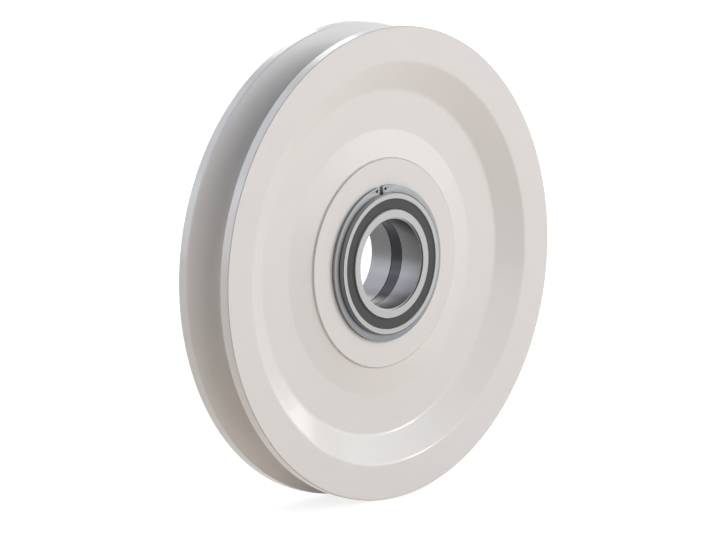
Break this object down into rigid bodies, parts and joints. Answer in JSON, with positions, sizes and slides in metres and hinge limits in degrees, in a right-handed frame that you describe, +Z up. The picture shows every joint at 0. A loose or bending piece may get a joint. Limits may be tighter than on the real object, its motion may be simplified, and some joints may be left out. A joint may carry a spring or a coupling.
{
  "type": "wire rope sheave",
  "caption": "Polyamide wire rope sheave with a grooved rim, dished web and hub, turning on a sealed full-complement cylindrical roller bearing held by snap rings.",
  "frame": {"origin": "centre of the bearing's bore, at the middle of its width", "axes": "+Y along the spin axis from the front face (the one with the gap of the snap ring left of the top) to the rear, +Z up, +X to the right seen from the front"},
  "size_m": [0.315, 0.046, 0.315],
  "materials": {
    "sheave_polyamide": "ivory white cast polyamide, turned and semi-gloss",
    "ring_steel": "fine-ground bearing steel",
    "spring_steel": "blue-grey tempered spring steel",
    "strip_steel": "dark rolled steel strip",
    "seal_rubber": "dark grey moulded nitrile rubber",
    "roller_steel": "polished roller steel"
  },
  "bodies": {
    "inner_ring": {"inner_ring_front": "ring_steel", "inner_ring_rear": "ring_steel", "inner_ring_strip": "strip_steel"},
    "sheave": {"sheave": "sheave_polyamide", "bearing_outer_ring": "ring_steel", "seal_front": "seal_rubber", "seal_rear": "seal_rubber", "snap_ring_front": "spring_steel", "snap_ring_rear": "spring_steel"},
    "front_rollers": {"front_roller_01": "roller_steel", "front_roller_02": "roller_steel", "front_roller_03": "roller_steel", "front_roller_04": "roller_steel", "front_roller_05": "roller_steel", "front_roller_06": "roller_steel", "front_roller_07": "roller_steel", "front_roller_08": "roller_steel", "front_roller_09": "roller_steel", "front_roller_10": "roller_steel", "front_roller_11": "roller_steel", "front_roller_12": "roller_steel", "front_roller_13": "roller_steel", "front_roller_14": "roller_steel", "front_roller_15": "roller_steel", "front_roller_16": "roller_steel", "front_roller_17": "roller_steel", "front_roller_18": "roller_steel", "front_roller_19": "roller_steel", "front_roller_20": "roller_steel", "front_roller_21": "roller_steel", "front_roller_22": "roller_steel", "front_roller_23": "roller_steel", "front_roller_24": "roller_steel"},
    "rear_rollers": {"rear_roller_01": "roller_steel", "rear_roller_02": "roller_steel", "rear_roller_03": "roller_steel", "rear_roller_04": "roller_steel", "rear_roller_05": "roller_steel", "rear_roller_06": "roller_steel", "rear_roller_07": "roller_steel", "rear_roller_08": "roller_steel", "rear_roller_09": "roller_steel", "rear_roller_10": "roller_steel", "rear_roller_11": "roller_steel", "rear_roller_12": "roller_steel", "rear_roller_13": "roller_steel", "rear_roller_14": "roller_steel", "rear_roller_15": "roller_steel", "rear_roller_16": "roller_steel", "rear_roller_17": "roller_steel", "rear_roller_18": "roller_steel", "rear_roller_19": "roller_steel", "rear_roller_20": "roller_steel", "rear_roller_21": "roller_steel", "rear_roller_22": "roller_steel", "rear_roller_23": "roller_steel", "rear_roller_24": "roller_steel"}
  },
  "joints": [
    {"name": "sheave_spin", "type": "hinge", "parent": "inner_ring", "child": "sheave", "pos_m": [0, 0, 0], "axis": [0, 1, 0], "continuous": true},
    {"name": "front_row_roll", "type": "hinge", "parent": "inner_ring", "child": "front_rollers", "pos_m": [0, 0, 0], "axis": [0, 1, 0], "continuous": true},
    {"name": "rear_row_roll", "type": "hinge", "parent": "inner_ring", "child": "rear_rollers", "pos_m": [0, 0, 0], "axis": [0, 1, 0], "continuous": true}
  ],
  "couplings": [
    {"joint": "front_row_roll", "follows": "sheave_spin", "ratio": 0.56186},
    {"joint": "rear_row_roll", "follows": "sheave_spin", "ratio": 0.56186}
  ]
}
